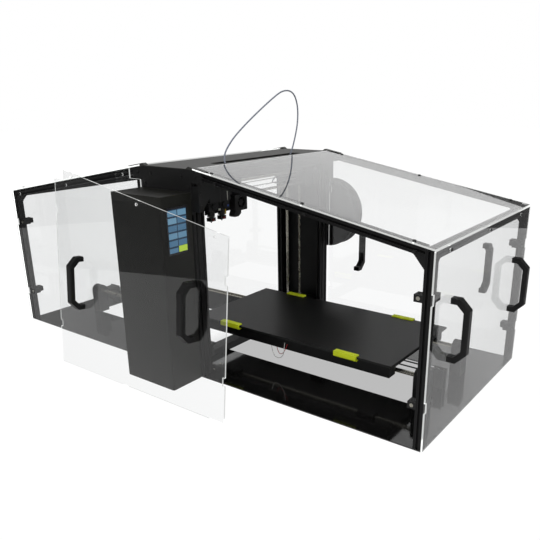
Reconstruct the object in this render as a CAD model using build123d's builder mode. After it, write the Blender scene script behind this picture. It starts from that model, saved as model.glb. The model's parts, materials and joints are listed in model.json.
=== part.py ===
"""Large enclosed fused-filament printer: a gantry between two towers, a long moving bed and clear panels.

X runs across the machine, -Y is its front and +Z is up. The origin is the centre of the enclosure on the table.
"""
import math
import os

from build123d import *

# Enclosure, in millimetres
half_width = 328.0          # centre plane to the posts' outer faces
half_length = 785.0         # centre plane to the end beams' outer faces
post_height = 476.0
beam = 20.0                 # slotted extrusion, square
slot_width = 6.2
slot_depth = 5.5
base_thickness = 3.0
sheet = 4.0                 # clear panel thickness
gap = 0.3                   # between pieces of different bodies
roof_top_end = 137.0        # where the roof reaches its upper height
roof_rise = 116.5           # from the end beams to the gantry
slope = math.atan2(roof_rise, half_length - roof_top_end)

# Gantry
gantry_half = 117.0         # centre plane to the gantry beams' outer faces
tower_half = 97.0           # centre plane to the tower columns' outer faces
column_width = 40.0
tower_top = 595.0
gantry_beam_height = 40.0
lift_top = 560.0            # top of the lift's rods and screws
roof_beam_end = 134.5
cover_top = 601.0
cover_sheet = 2.0
web = 3.0                   # tower webs, side plates and gussets

# Z axis
screw_x = 250.0
screw_y = -31.0
rod_y = 21.0
screw_radius = 4.0
z_rod_radius = 5.0
motor = 42.0                # square stepper motor
motor_length = 40.0
base_beam_top = 23.0
bracket_bottom = 63.0
bracket_thickness = 6.0

# X axis, at the top of its travel
x_rod_y = -60.0
x_rod_low = 500.0
x_rod_high = 540.0
x_rod_radius = 4.0
belt_z = 520.0
belt_y = -42.5
x_end_low = 488.0
x_end_high = 552.0
x_motor_x = -298.0
x_idler_x = 262.0

# Belts and pulleys
pulley_radius = 6.366       # 20 teeth of 2 mm pitch
belt_inner = 6.6
belt_outer = 8.1
shaft_radius = 2.5

# Bed and Y axis, with the bed as far forward as it is left
bed_front = -626.0
bed_back = 66.0
bed_half_width = 176.0
bed_top = 117.0
plate_thickness = 6.0
y_rod_x = 122.0
y_rod_z = 85.0
y_rod_radius = 6.0
y_foot_ys = (-690.0, 640.0)  # middles of the rods' feet
y_belt_z = 51.0
y_belt_end = 676.0

# Tool head
head_front = -110.5
head_back = -76.5
nozzle_tip = 446.0
nozzle_xs = (-257.0, -214.0)
nozzle_y = -92.0
fan_x = -132.0
fan_z = 487.0
fan_radius = 14.5

# Control box
box_outer_x = -439.0
box_inner_x = -334.0
box_front = -92.0
box_back = 102.0
box_height = 540.0
box_wall = 2.5
screen_x = -386.0
screen_z = 447.0
screen_width = 72.0
screen_height = 125.0

# Removed side panel, leaning on the control box
lean_foot_x = -493.0
lean_shift = 455.6          # how far back of its opening it stands
lean = math.atan2(abs(lean_foot_x - box_outer_x) - 0.35, box_height)

# Catches on the posts
clip_levels = (112.0, 367.5)

# Handles
handle_length = 156.0
handle_standoff = 46.0
handle_bar = 14.0
handle_chamfer = 25.0
handle_width = 20.0
handle_height = 270.0
side_handle_y = -445.0      # middle of the pair
side_handle_offset = 224.5
end_handle_x = 217.0

# Pegs that the removable panels hang on
peg_radius = 3.6
peg_hole_radius = 4.0
peg_drop = 15.0             # below the roof's underside
side_peg_ys = (182.0, 462.0, 742.0)
end_peg_xs = (-248.0, 0.0, 248.0)
end_peg_z = 463.0
roof_screw_ys = (160.0, 446.0, 735.0)

# Spool
spool_y = -83.5
spool_z = 381.0
spool_inner_x = 347.0
spool_width = 50.0
flange_radius = 117.0
hub_bore = 26.0

# Filament guide tube: arch over the gantry, from the tool head back down inside the right tower
tube_radius = 3.0
tube_route = [
    (-149, -79, 554), (-159, -71, 583), (-163, -60, 618), (-126, -60, 659), (-71, -58, 694),
    (3.5, -56, 735), (76, -53, 771), (139, -50, 798), (197, -47.5, 793), (223, -46.5, 751),
    (222, -46.5, 696), (205, -47, 648), (187, -44, 601), (179, -22, 557), (183, 18, 520), (204, 56, 495),
    (245, 62, 485), (285, 63, 483), (324.7, 62, 483),
]


def save(piece, name):
    """Label the finished piece and write it under its name."""
    piece.part.label = name
    export_step(piece.part, f"parts/{name}.step")


def roof_under(y):
    """Height of the roof sheets' underside above the table at a distance y from the centre."""
    return post_height + (half_length - abs(y)) * math.tan(slope)


def along_x(x):
    """Plane across X whose own x is the object's Y and whose own y is Z."""
    return Plane(origin=(x, 0, 0), x_dir=(0, 1, 0), z_dir=(1, 0, 0))


def along_y(y):
    """Plane across Y whose own x is the object's X and whose own y is Z; it faces the front."""
    return Plane(origin=(0, y, 0), x_dir=(1, 0, 0), z_dir=(0, -1, 0))


def extrusion_section(width=beam, height=beam, slots=1):
    """Slotted beam section, with one slot on each short face and several on the long ones."""
    Rectangle(width, height)
    for side in (-1, 1):
        with Locations((side * (width - slot_depth) / 2, 0)):
            Rectangle(slot_depth, slot_width, mode=Mode.SUBTRACT)
        with Locations((0, side * (height - slot_depth) / 2)):
            with GridLocations(beam, 1, slots, 1):
                Rectangle(slot_width, slot_depth, mode=Mode.SUBTRACT)


# Frame

def base_plate():
    opening_half_width = 133.0
    opening_half_length = 656.0
    with BuildPart() as plate:
        with BuildSketch():
            Rectangle(2 * half_width, 2 * half_length)
            Rectangle(2 * opening_half_width, 2 * opening_half_length, mode=Mode.SUBTRACT)
        extrude(amount=base_thickness)
    save(plate, "base_plate")


def corner_posts():
    with BuildPart() as posts:
        for end in (-1, 1):
            for side in (-1, 1):
                centre = (side * (half_width - beam / 2), end * (half_length - beam / 2), base_thickness)
                with BuildSketch(Plane(origin=centre)):
                    extrusion_section()
                extrude(amount=post_height - base_thickness)
    save(posts, "corner_posts")


def end_beams():
    with BuildPart() as beams:
        for end in (-1, 1):
            start = (beam - half_width, end * (half_length - beam / 2), post_height - beam / 2)
            with BuildSketch(Plane(origin=start, z_dir=(1, 0, 0))):
                extrusion_section()
            extrude(amount=2 * (half_width - beam))
    save(beams, "end_beams")


def roof_beams(end, name):
    """Sloping beams between the posts and the gantry, cut upright at both ends."""
    middle_y = (half_length + gantry_half) / 2
    middle_z = roof_under(middle_y) - beam / 2 / math.cos(slope)
    direction = (0, -end * math.cos(slope), math.sin(slope))
    with BuildPart() as beams:
        for side in (-1, 1):
            middle = (side * (half_width - beam / 2), end * middle_y, middle_z)
            with BuildSketch(Plane(origin=middle, x_dir=(1, 0, 0), z_dir=direction)):
                extrusion_section()
            extrude(amount=half_length - gantry_half, both=True)
        split(bisect_by=Plane(origin=(0, end * (half_length - beam), 0), z_dir=(0, -end, 0)))
        split(bisect_by=Plane(origin=(0, end * roof_beam_end, 0), z_dir=(0, end, 0)))
    save(beams, name)


def corner_gussets():
    """Small triangular braces under the roof beams and under the end beams."""
    side_leg = 30.0
    end_leg = 20.0
    thickness = 12.0
    inner_y = half_length - beam
    inner_x = half_width - beam
    beam_drop = beam / math.cos(slope)
    with BuildPart() as gussets:
        with BuildSketch(along_x(half_width - beam / 2)):
            with BuildLine():
                Polyline((inner_y, roof_under(inner_y) - beam_drop),
                         (inner_y, roof_under(inner_y) - beam_drop - side_leg),
                         (inner_y - side_leg, roof_under(inner_y - side_leg) - beam_drop), close=True)
            make_face()
        extrude(amount=thickness / 2, both=True)
        with BuildSketch(along_y(half_length - beam / 2)):
            with BuildLine():
                Polyline((inner_x, post_height - beam), (inner_x, post_height - beam - end_leg),
                         (inner_x - end_leg, post_height - beam), close=True)
            make_face()
        extrude(amount=thickness / 2, both=True)
        mirror(about=Plane.YZ)
        mirror(about=Plane.XZ)
    save(gussets, "corner_gussets")


def corner_clips():
    """L-shaped catches round the inner corner of each post, with a hole for the panel magnet."""
    height = 17.0
    side_arm = 20.0
    end_arm = 24.0
    lap = 6.0
    depth = 24.0
    magnet_radius = 5.0
    inner_x = half_width - beam
    inner_y = half_length - beam
    with BuildPart() as clips:
        for level in clip_levels:
            with BuildSketch(Plane.XY.offset(level - height / 2)):
                with BuildLine():
                    Polyline((half_width, inner_y), (half_width, inner_y - side_arm),
                             (half_width - depth, inner_y - side_arm), (half_width - depth, inner_y - lap),
                             (inner_x - end_arm, inner_y - lap), (inner_x - end_arm, half_length),
                             (inner_x, half_length), (inner_x, inner_y), close=True)
                make_face()
            extrude(amount=height)
            with Locations(Plane(origin=(half_width, inner_y - side_arm / 2, level), z_dir=(1, 0, 0))):
                Hole(magnet_radius, depth=3)
            with Locations(Plane(origin=(inner_x - end_arm / 2, half_length, level), z_dir=(0, 1, 0))):
                Hole(magnet_radius, depth=3)
        mirror(about=Plane.YZ)
        mirror(about=Plane.XZ)
    save(clips, "corner_clips")


def roof_sheet(end, name):
    """Sloping clear sheet with screw holes along both long edges."""
    half_sheet_width = half_width + 2
    upper_y = 103.0
    lower_y = half_length + 3
    lift = sheet / math.cos(slope)
    with BuildPart() as roof:
        with BuildSketch(along_x(0)):
            with BuildLine():
                Polyline((end * upper_y, roof_under(upper_y)), (end * lower_y, roof_under(lower_y)),
                         (end * lower_y, roof_under(lower_y) + lift),
                         (end * upper_y, roof_under(upper_y) + lift), close=True)
            make_face()
        extrude(amount=half_sheet_width, both=True)
        for y in roof_screw_ys:
            for side in (-1, 1):
                place = (side * (half_width - beam / 2), end * y, roof_under(y) + lift)
                with BuildSketch(Plane(origin=place, z_dir=(0, end * math.sin(slope), math.cos(slope)))):
                    Circle(2.15)
                extrude(amount=6, both=True, mode=Mode.SUBTRACT)
    save(roof, name)


def button_head(radius=4.5, height=2.4, shank=6.0):
    """Profile of a button-head screw standing on its own axis, revolved about it."""
    with BuildLine() as outline:
        Polyline((0, height), (radius * 0.6, height))
        ThreePointArc((radius * 0.6, height), (radius * 0.93, height * 0.6), (radius, 0))
        Polyline((radius, 0), (2.0, 0), (2.0, -shank), (0, -shank), (0, height))
    make_face(outline.line)


def frame_screws():
    """Screws in the roof sheets and the gantry plates, and the pegs that the side and end panels hang on."""
    lift = sheet / math.cos(slope)
    plate_screws = [(-113, 580), (-86, 553), (-60, 580), (60, 580), (86, 553), (113, 580)]
    gusset_screws = [(320, 566), (320, 539), (320, 503), (262, 574)]
    with BuildPart() as screws:
        for end in (-1, 1):
            normal = (0, end * math.sin(slope), math.cos(slope))
            for y in roof_screw_ys:
                seat = (half_width - beam / 2, end * y, roof_under(y) + lift)
                seat_plane = Plane(origin=seat, x_dir=(1, 0, 0), z_dir=normal)
                with BuildSketch(seat_plane.rotated((90, 0, 0))):
                    button_head()
                revolve(axis=Axis(seat, normal))
            for x, z in gusset_screws:
                with BuildSketch(Plane(origin=(x, end * (gantry_half + web), z), z_dir=(0, end, 0))):
                    Circle(4)
                extrude(amount=2.4)
            for y in side_peg_ys:
                peg_centre = (half_width, end * y, roof_under(y) - peg_drop)
                with BuildSketch(Plane(origin=peg_centre, z_dir=(1, 0, 0))):
                    Circle(peg_radius)
                extrude(amount=7)
        for y, z in plate_screws:
            with BuildSketch(Plane(origin=(half_width + web, y, z), z_dir=(1, 0, 0))):
                Circle(4)
            extrude(amount=2.4)
        mirror(about=Plane.YZ)
        for x in end_peg_xs:
            with BuildSketch(Plane(origin=(x, -half_length, end_peg_z), z_dir=(0, -1, 0))):
                Circle(peg_radius)
            extrude(amount=7)
    save(screws, "frame_screws")


def side_outline(end):
    """Outline of a side panel in its own plane, stepped at the gantry, with edge notches and peg holes."""
    inner_y = 105.0
    shoulder_y = 150.0
    shoulder_z = 561.0
    bottom = 1.0
    drop = 2.0
    notch = 8.0
    notch_height = 22.0
    with BuildLine() as outline:
        Polyline((end * inner_y, bottom), (end * half_length, bottom),
                 (end * half_length, roof_under(half_length) - drop),
                 (end * shoulder_y, roof_under(shoulder_y) - drop), (end * shoulder_y, shoulder_z),
                 (end * inner_y, shoulder_z), close=True)
    make_face(outline.line)
    with Locations((end * (inner_y + notch / 2), 125), (end * (inner_y + notch / 2), 469.5)):
        Rectangle(notch, notch_height - 2, mode=Mode.SUBTRACT)
    with Locations(*[(end * (half_length - notch / 2), level) for level in clip_levels]):
        Rectangle(notch, notch_height, mode=Mode.SUBTRACT)
    with Locations(*[(end * y, roof_under(y) - peg_drop) for y in side_peg_ys]):
        Circle(peg_hole_radius, mode=Mode.SUBTRACT)


def rear_side_panels():
    with BuildPart() as panels:
        for side in (-1, 1):
            with BuildSketch(along_x(side * half_width)):
                side_outline(1)
            extrude(amount=side * sheet)
    save(panels, "rear_side_panels")


def end_outline(half_span):
    with Locations((0, (1 + post_height - 2) / 2)):
        Rectangle(2 * half_span, post_height - 3)
    for side in (-1, 1):
        with Locations(*[(side * (half_span - 4), level) for level in clip_levels]):
            Rectangle(8, 26, mode=Mode.SUBTRACT)


def rear_end_panel():
    with BuildPart() as panel:
        with BuildSketch(along_y(half_length)):
            end_outline(half_width + sheet)
        extrude(amount=-sheet)
    save(panel, "rear_end_panel")


# Gantry

def towers():
    """Two wide slotted columns and a web on each side."""
    column_x = half_width - column_width / 2
    column_y = tower_half - beam / 2
    with BuildPart() as sides:
        for side in (-1, 1):
            for end in (-1, 1):
                with BuildSketch(Plane(origin=(side * column_x, end * column_y, base_thickness))):
                    extrusion_section(column_width, beam, slots=2)
                extrude(amount=tower_top - base_thickness)
            web_height = tower_top - base_thickness
            with Locations((side * (half_width - web / 2), 0, base_thickness)):
                Box(web, 2 * (tower_half - beam), web_height, align=(Align.CENTER, Align.CENTER, Align.MIN))
    save(sides, "towers")


def gantry_beams():
    height = gantry_beam_height
    with BuildPart() as beams:
        for end in (-1, 1):
            start = (-half_width, end * (gantry_half - beam / 2), tower_top - height / 2)
            with BuildSketch(Plane(origin=start, x_dir=(0, 0, 1), z_dir=(1, 0, 0))):
                extrusion_section(height, beam, slots=2)
            extrude(amount=2 * half_width)
    save(beams, "gantry_beams")


def gantry_cover():
    """Bent sheet cover with a long slot for the guide tube; a lip at each end laps over the roof sheets."""
    flat = 90.0
    reach = 101.5
    fall = 1.4
    lip_reach = 150.0
    lip_width = 14.0
    slot_middle_x = 5.0
    slot_middle_y = -54.0
    slot_length = 410.0
    slot_across = 36.0
    roof_lift = sheet / math.cos(slope)
    with BuildPart() as cover:
        with BuildSketch(along_x(0)):
            with BuildLine():
                Polyline((-reach, cover_top - fall), (-flat, cover_top), (flat, cover_top),
                         (reach, cover_top - fall), (reach, cover_top - fall - cover_sheet),
                         (flat, cover_top - cover_sheet), (-flat, cover_top - cover_sheet),
                         (-reach, cover_top - fall - cover_sheet), close=True)
            make_face()
        extrude(amount=half_width + 4, both=True)
        for side in (-1, 1):
            for end in (-1, 1):
                with BuildSketch(along_x(side * (half_width + 4))):
                    with BuildLine():
                        Polyline((end * (flat - 8), cover_top - 1), (end * (flat - 8), cover_top + 1.2),
                                 (end * flat, roof_under(flat) + roof_lift + cover_sheet),
                                 (end * lip_reach, roof_under(lip_reach) + roof_lift + cover_sheet),
                                 (end * lip_reach, roof_under(lip_reach) + roof_lift),
                                 (end * reach, roof_under(reach) + roof_lift), (end * reach, cover_top - 2),
                                 close=True)
                    make_face()
                extrude(amount=-side * lip_width)
        with BuildSketch(Plane.XY.offset(cover_top + 1)):
            with Locations((slot_middle_x, slot_middle_y)):
                SlotOverall(slot_length, slot_across)
        extrude(amount=-2 * cover_sheet, mode=Mode.SUBTRACT)
    save(cover, "gantry_cover")


def gantry_plates():
    """Side plates that tie the beams to the towers, and the triangular gussets on the front and back."""
    plate_low = 480.0
    shoulder_low = 564.0
    plate_high = cover_top - cover_sheet
    plate_half = tower_half - 1.5
    with BuildPart() as plates:
        with BuildSketch(along_x(half_width)):
            with BuildLine():
                Polyline((plate_half, plate_low), (plate_half, shoulder_low), (roof_beam_end, shoulder_low),
                         (roof_beam_end, roof_under(roof_beam_end) - 0.5), (103, plate_high - 1.7),
                         (90, plate_high), (-90, plate_high), (-103, plate_high - 1.7),
                         (-roof_beam_end, roof_under(roof_beam_end) - 0.5), (-roof_beam_end, shoulder_low),
                         (-plate_half, shoulder_low), (-plate_half, plate_low), close=True)
            make_face()
        extrude(amount=web)
        for end in (-1, 1):
            with BuildSketch(along_y(end * gantry_half)):
                with BuildLine():
                    Polyline((half_width, 488), (half_width, roof_under(gantry_half + web) - 0.5),
                             (248, roof_under(gantry_half + web) - 0.5), (248, 560), (262, 547), (319, 488),
                             close=True)
                make_face()
            extrude(amount=-end * web)
            with Locations((half_width - 5, end * (tower_half + gantry_half) / 2, 521.5)):
                Box(10, gantry_half - tower_half, 67)
        mirror(about=Plane.YZ)
    save(plates, "gantry_plates")


def base_cross_beam():
    """Beam under the gantry; between the base plate's edges it comes down to the table."""
    foot_half = 132.5
    with BuildPart() as cross_beam:
        with BuildSketch(Plane.XZ):
            with BuildLine():
                Polyline((-half_width + web, base_thickness), (-foot_half, base_thickness), (-foot_half, 0),
                         (foot_half, 0), (foot_half, base_thickness), (half_width - web, base_thickness),
                         (half_width - web, base_beam_top), (-half_width + web, base_beam_top), close=True)
            make_face()
        extrude(amount=beam, both=True)
    save(cross_beam, "base_cross_beam")


def guide_rods():
    """Fixed smooth rods: two upright ones for the lift and two long ones for the bed."""
    y_rod_start, y_rod_end = y_foot_ys[0] - 10, y_foot_ys[1] + 10
    with BuildPart() as rods:
        for side in (-1, 1):
            with BuildSketch(Plane(origin=(side * screw_x, rod_y, bracket_bottom))):
                Circle(z_rod_radius)
            extrude(amount=lift_top - bracket_bottom)
            with BuildSketch(Plane(origin=(side * y_rod_x, y_rod_start, y_rod_z), z_dir=(0, 1, 0))):
                Circle(y_rod_radius)
            extrude(amount=y_rod_end - y_rod_start)
    save(rods, "guide_rods")


def z_brackets():
    """Brackets on the tower webs that hold the lift's rods and screws at both ends."""
    inner_x = 229.0
    front = -60.0
    back = 45.0
    outer_x = half_width - web
    with BuildPart() as brackets:
        for level in (bracket_bottom, lift_top - bracket_thickness):
            with BuildSketch(Plane.XY.offset(level)):
                with Locations(((inner_x + outer_x) / 2, (front + back) / 2)):
                    Rectangle(outer_x - inner_x, back - front)
                with Locations((screw_x, rod_y)):
                    Circle(z_rod_radius, mode=Mode.SUBTRACT)
                with Locations((screw_x, screw_y)):
                    Circle(screw_radius + 0.06, mode=Mode.SUBTRACT)
            extrude(amount=bracket_thickness)
        mirror(about=Plane.YZ)
    save(brackets, "z_brackets")


def axis_motors():
    """Stepper motors that stand still: two for the lift and one for the bed's belt."""
    height = bracket_bottom - base_beam_top
    with BuildPart() as motors:
        for side in (-1, 1):
            with BuildSketch(Plane(origin=(side * screw_x, screw_y, base_beam_top))):
                RectangleRounded(motor, motor, 4)
            extrude(amount=height)
        with BuildSketch(along_x(-24)):
            with Locations((y_belt_end, y_belt_z)):
                RectangleRounded(motor, motor, 4)
        extrude(amount=-motor_length)
    save(motors, "axis_motors")


def y_axis_mounts():
    """Rod feet at both ends, the bed motor's bracket at the back and the idler's yoke at the front."""
    foot_width = 44.0
    foot_depth = 32.0
    with BuildPart() as mounts:
        for foot_y in y_foot_ys:
            for side in (-1, 1):
                with BuildSketch(along_y(foot_y)):
                    with Locations((side * y_rod_x, (base_thickness + y_rod_z) / 2)):
                        Rectangle(foot_width, y_rod_z - base_thickness)
                    with Locations((side * y_rod_x, y_rod_z)):
                        Circle(foot_width / 2)
                    with Locations((side * y_rod_x, y_rod_z)):
                        Circle(y_rod_radius, mode=Mode.SUBTRACT)
                extrude(amount=foot_depth / 2, both=True)
        with BuildSketch(along_x(-24)):
            with BuildLine():
                Polyline((652, base_thickness), (652, 74), (700, 74), (700, base_thickness), close=True)
            make_face()
            with Locations((y_belt_end, y_belt_z)):
                Circle(11, mode=Mode.SUBTRACT)
        extrude(amount=web)
        for side in (-1, 1):
            with BuildSketch(along_x(side * 10)):
                with BuildLine():
                    Polyline((-700, base_thickness), (-700, 62), (-664, 62), (-664, base_thickness),
                             close=True)
                make_face()
            extrude(amount=2, both=True)
        with BuildSketch(along_x(-8)):
            with Locations((-y_belt_end, y_belt_z)):
                Circle(2)
        extrude(amount=16)
    save(mounts, "y_axis_mounts")


def belt_loop(length):
    SlotCenterToCenter(length, 2 * belt_outer)
    SlotCenterToCenter(length, 2 * belt_inner, mode=Mode.SUBTRACT)


def y_belt():
    with BuildPart() as belt:
        with BuildSketch(Plane(origin=(0, 0, y_belt_z), x_dir=(0, 1, 0), z_dir=(1, 0, 0))):
            belt_loop(2 * y_belt_end)
        extrude(amount=3, both=True)
    save(belt, "y_belt")


def cable_loom():
    """Black sleeve with the head's leads, strapped down the inner side of the left tower."""
    with BuildPart() as loom:
        with BuildSketch(Plane(origin=(-300, 60, base_thickness))):
            Circle(7)
        extrude(amount=lift_top - base_thickness)
    save(loom, "cable_loom")


# Control box

def control_box_shell():
    """Tray open towards the tower, with a window for the screen and one for the mains inlet."""
    middle_y = (box_front + box_back) / 2
    depth = box_inner_x - box_outer_x
    with BuildPart() as shell:
        with BuildSketch():
            with Locations(((box_outer_x + box_inner_x) / 2, middle_y)):
                Rectangle(depth, box_back - box_front)
            fillet(vertices().group_by(Axis.X)[0], radius=5)
        extrude(amount=box_height)
        with Locations(((box_outer_x + box_inner_x + box_wall) / 2, middle_y, box_height / 2)):
            Box(depth - box_wall, box_back - box_front - 2 * box_wall, box_height - 2 * box_wall,
                mode=Mode.SUBTRACT)
        with Locations((screen_x, box_front, screen_z)):
            Box(screen_width - 2, 10, screen_height - 2, mode=Mode.SUBTRACT)
        with Locations((-384, box_back, 69)):
            Box(33, 10, 63, mode=Mode.SUBTRACT)
    save(shell, "control_box_shell")


def control_box_plate():
    with BuildPart() as plate:
        with Locations((box_inner_x + web / 2, (box_front + box_back) / 2, box_height / 2)):
            Box(web, box_back - box_front, box_height)
    save(plate, "control_box_plate")


def touchscreen():
    with BuildPart() as screen:
        with BuildSketch(along_y(box_front)):
            with Locations((screen_x, screen_z)):
                RectangleRounded(screen_width, screen_height, 1.5)
        extrude(amount=2)
        with BuildSketch(along_y(box_front)):
            with Locations((screen_x, screen_z)):
                Rectangle(screen_width - 2.2, screen_height - 2.2)
        extrude(amount=-10)
    save(screen, "touchscreen")


def power_supply():
    with BuildPart() as supply:
        with Locations((box_inner_x - 25, 2.5, 127.5)):
            Box(50, 115, 215)
    save(supply, "power_supply")


def controller_board():
    """Circuit board on four spacers, with its plug row and driver coolers."""
    board_x = box_inner_x - 8
    with BuildPart() as board:
        with Locations((board_x - 0.8, 5, 320)):
            Box(1.6, 120, 100)
        with Locations(Plane(origin=(board_x, 5, 320), x_dir=(0, 1, 0), z_dir=(1, 0, 0))):
            with GridLocations(110, 90, 2, 2):
                Cylinder(3, 8, align=(Align.CENTER, Align.CENTER, Align.MIN))
        with Locations(Plane(origin=(board_x - 1.6, 5, 330), x_dir=(0, 1, 0), z_dir=(-1, 0, 0))):
            with GridLocations(24, 1, 4, 1):
                Box(14, 14, 10, align=(Align.CENTER, Align.CENTER, Align.MIN))
    save(board, "controller_board")


def power_inlet():
    """Mains socket with its switch well, in one moulding on the back of the control box."""
    centre_x = -384.0
    with BuildPart() as inlet:
        with BuildSketch(along_y(box_back)):
            with Locations((centre_x, 69)):
                RectangleRounded(40, 72, 3)
        extrude(amount=-2.5)
        with BuildSketch(along_y(box_back)):
            with Locations((centre_x, 69)):
                Rectangle(32, 62)
        extrude(amount=22)
        with BuildSketch(along_y(box_back + 2.5)):
            with Locations((centre_x, 52)):
                RectangleRounded(25, 17, 2)
            with Locations((centre_x, 86)):
                Rectangle(21.6, 21.6)
        extrude(amount=16, mode=Mode.SUBTRACT)
        with BuildSketch(along_x(centre_x)):
            with Locations((98, 86)):
                Circle(1.5)
        extrude(amount=10.8, both=True)
        with BuildSketch(along_y(box_back + 2.5 - 16)):
            with Locations((centre_x - 6, 50), (centre_x, 54), (centre_x + 6, 50)):
                Rectangle(2, 5)
        extrude(amount=-11)
    save(inlet, "power_inlet")


def power_switch():
    """Rocker, left tilted to off."""
    with BuildPart() as rocker:
        with BuildSketch(along_x(-384)):
            with Locations(Location((99, 86), -8)):
                RectangleRounded(12, 17, 1.5)
            with Locations((98, 86)):
                Circle(1.56, mode=Mode.SUBTRACT)
        extrude(amount=10, both=True)
    save(rocker, "power_switch")


# Spool

def spool_arm():
    """Bracket on the right tower with a hollow drum that the spool turns on."""
    with BuildPart() as arm:
        with BuildSketch(along_x(half_width)):
            with Locations((-77, spool_z)):
                RectangleRounded(44, 70, 5)
        extrude(amount=5)
        with BuildSketch(along_x(half_width + 5)):
            with Locations((spool_y, spool_z)):
                Circle(11.5)
        extrude(amount=13)
        with BuildSketch(along_x(346)):
            with Locations((spool_y, spool_z)):
                Circle(hub_bore - 0.06)
        extrude(amount=spool_width + 6)
        with BuildSketch(along_x(350)):
            with Locations((spool_y, spool_z)):
                Circle(20)
        extrude(amount=60, mode=Mode.SUBTRACT)
    save(arm, "spool_arm")


def spool():
    hub_radius = 45.0
    flange = 3.5
    with BuildPart() as reel:
        with BuildSketch(along_x(spool_inner_x)):
            with Locations((spool_y, spool_z)):
                Circle(hub_radius)
        extrude(amount=spool_width)
        for start in (spool_inner_x, spool_inner_x + spool_width - flange):
            with BuildSketch(along_x(start)):
                with Locations((spool_y, spool_z)):
                    Circle(flange_radius)
            extrude(amount=flange)
        with BuildSketch(along_x(spool_inner_x)):
            with Locations((spool_y, spool_z)):
                Circle(hub_bore)
        extrude(amount=spool_width, mode=Mode.SUBTRACT)
    save(reel, "spool")


def filament():
    with BuildPart() as winding:
        with BuildSketch(along_x(spool_inner_x + 3.5)):
            with Locations((spool_y, spool_z)):
                Circle(104)
                Circle(45, mode=Mode.SUBTRACT)
        extrude(amount=spool_width - 7)
    save(winding, "filament")


def filament_tube():
    """Springy guide tube: straight runs joined by arcs as wide as the runs allow."""
    points = [Vector(*point) for point in tube_route]
    radii = []
    for before, corner, after in zip(points, points[1:], points[2:]):
        turn = math.radians((corner - before).get_angle(after - corner))
        shorter = min((corner - before).length, (after - corner).length)
        radii.append(0.45 * shorter / math.tan(turn / 2))
    print("tube radii", [round(radius) for radius in radii])
    with BuildPart() as tube:
        with BuildLine():
            route = FilletPolyline(*points, radius=radii)
        with BuildSketch(Plane(origin=route @ 0, z_dir=route % 0)):
            Circle(tube_radius)
        sweep()
    expected = math.pi * tube_radius ** 2 * route.length
    print("tube length", round(route.length), "volume ratio", round(tube.part.volume / expected, 4))
    save(tube, "filament_tube")


# Lift and X axis

def lead_screw(side, name):
    with BuildPart() as screw:
        with BuildSketch(Plane(origin=(side * screw_x, screw_y, bracket_bottom + gap))):
            Circle(screw_radius)
        extrude(amount=lift_top - bracket_bottom - 2 * gap)
    save(screw, name)


def x_ends():
    """Blocks that ride on the lift's rods and screws; a channel lets the belt through."""
    inner_x = 225.0
    outer_x = 277.0
    front = -72.0
    back = 40.0
    middle_x = (inner_x + outer_x) / 2
    with BuildPart() as ends:
        with BuildSketch(Plane.XY.offset(x_end_low)):
            with Locations((middle_x, (front + back) / 2)):
                Rectangle(outer_x - inner_x, back - front)
            with Locations((screw_x, rod_y)):
                Circle(z_rod_radius + 0.06, mode=Mode.SUBTRACT)
            with Locations((screw_x, screw_y)):
                Circle(screw_radius + 0.06, mode=Mode.SUBTRACT)
        extrude(amount=x_end_high - x_end_low)
        with BuildSketch(along_x(inner_x)):
            with Locations((x_rod_y, x_rod_low), (x_rod_y, x_rod_high)):
                Circle(x_rod_radius)
        extrude(amount=outer_x - inner_x, mode=Mode.SUBTRACT)
        with Locations((middle_x, belt_y, belt_z)):
            Box(outer_x - inner_x, 11, 24, mode=Mode.SUBTRACT)
        mirror(about=Plane.YZ)
        with BuildSketch(along_y(-36)):
            with Locations((x_idler_x, belt_z)):
                Circle(2)
        extrude(amount=14)
    save(ends, "x_ends")


def x_rods():
    with BuildPart() as rods:
        with BuildSketch(along_x(-277)):
            with Locations((x_rod_y, x_rod_low), (x_rod_y, x_rod_high)):
                Circle(x_rod_radius)
        extrude(amount=2 * 277)
    save(rods, "x_rods")


def x_motor():
    with BuildPart() as stepper:
        with BuildSketch(along_y(4)):
            with Locations((x_motor_x, belt_z)):
                RectangleRounded(motor, motor, 4)
        extrude(amount=motor_length)
    save(stepper, "x_motor")


def x_belt():
    with BuildPart() as belt:
        middle = ((x_motor_x + x_idler_x) / 2, belt_y, belt_z)
        with BuildSketch(Plane(origin=middle, x_dir=(1, 0, 0), z_dir=(0, -1, 0))):
            belt_loop(x_idler_x - x_motor_x)
        extrude(amount=3, both=True)
    save(belt, "x_belt")


def pulley(name, centre, axis, shaft=0.0, bore=0.0):
    """Toothed wheel between two flanges, on its own motor shaft or bored for an idler pin."""
    half_face = 3.6
    flange = 1.0
    flange_radius_of_wheel = 8.6
    wheel_plane = Plane(origin=centre, z_dir=axis)
    with BuildPart() as wheel:
        with BuildSketch(wheel_plane):
            Circle(pulley_radius)
        extrude(amount=half_face, both=True)
        for side in (-1, 1):
            with BuildSketch(wheel_plane.offset(side * half_face)):
                Circle(flange_radius_of_wheel)
            extrude(amount=side * flange)
        if shaft:
            with BuildSketch(wheel_plane.offset(-shaft)):
                Circle(shaft_radius)
            extrude(amount=shaft)
        if bore:
            with BuildSketch(wheel_plane.offset(-half_face - flange)):
                Circle(bore)
            extrude(amount=2 * (half_face + flange), mode=Mode.SUBTRACT)
    save(wheel, name)


# Tool head

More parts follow.
